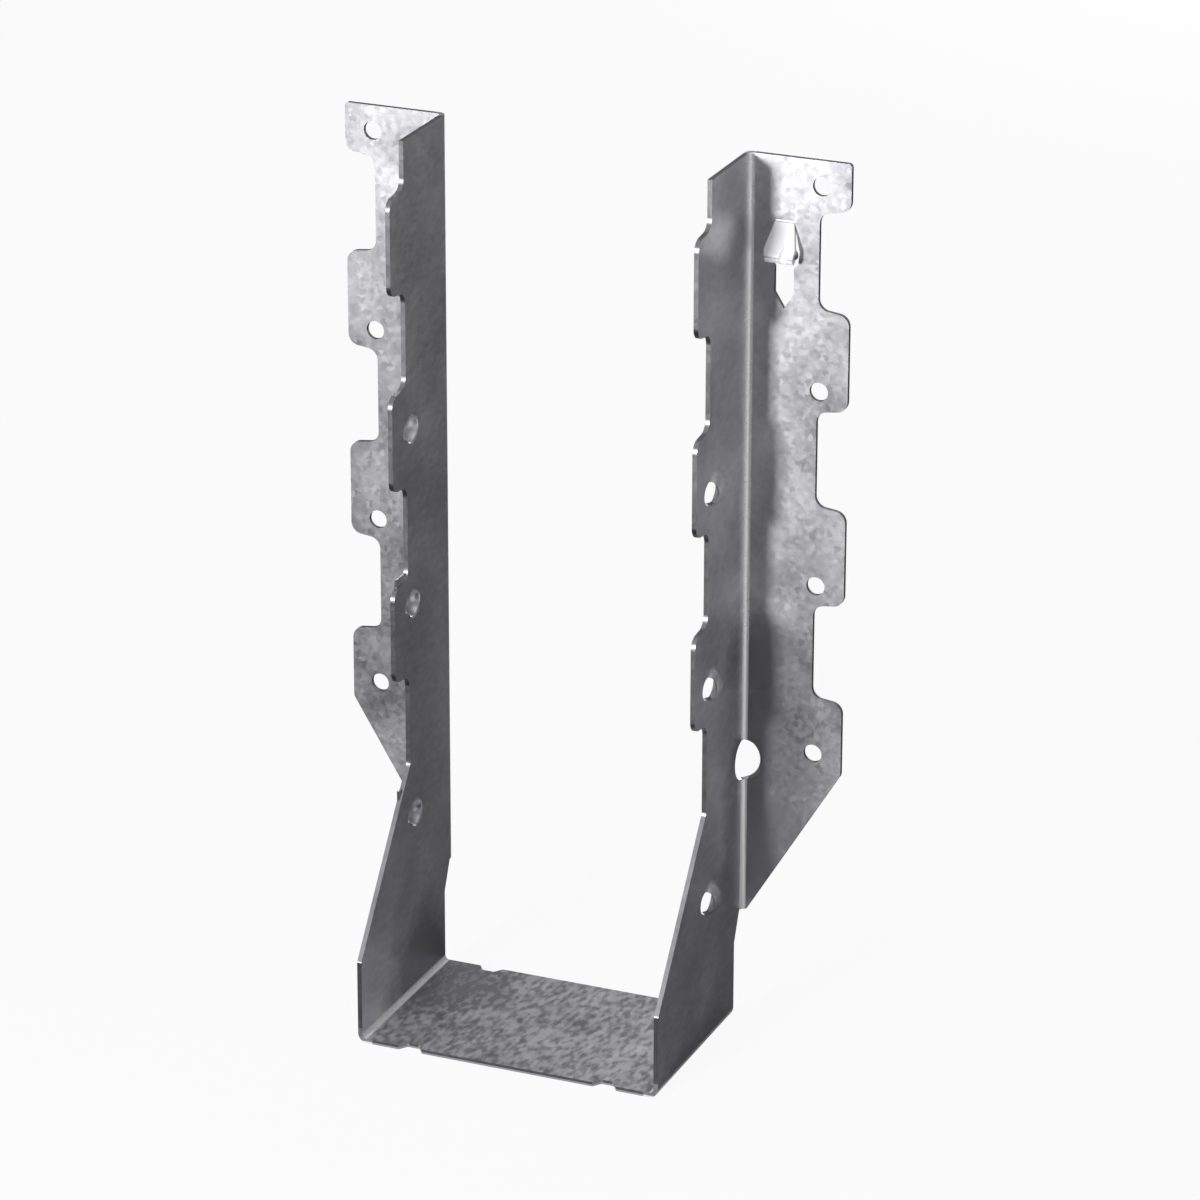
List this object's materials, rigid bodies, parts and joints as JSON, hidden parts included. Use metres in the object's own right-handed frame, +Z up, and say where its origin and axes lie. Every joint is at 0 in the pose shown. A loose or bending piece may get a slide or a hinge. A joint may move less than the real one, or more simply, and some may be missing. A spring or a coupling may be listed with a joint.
{
  "type": "joist hanger",
  "caption": "Folded galvanised sheet stirrup that carries a wooden joist's end on a beam's face, with scalloped nailing flanges, domed slanting nail holes and a hammer-in prong.",
  "frame": {"origin": "centre of the seat's underside", "axes": "+Z up along the side plates, +Y towards the header beam that the flanges lie against, +X to the right as seen from the joist"},
  "size_m": [0.134, 0.0623, 0.2286],
  "materials": {
    "galvanised": "spangled hot-dip galvanised sheet, semi-bright"
  },
  "bodies": {
    "root": {"joist_hanger": "galvanised"}
  },
  "joints": []
}
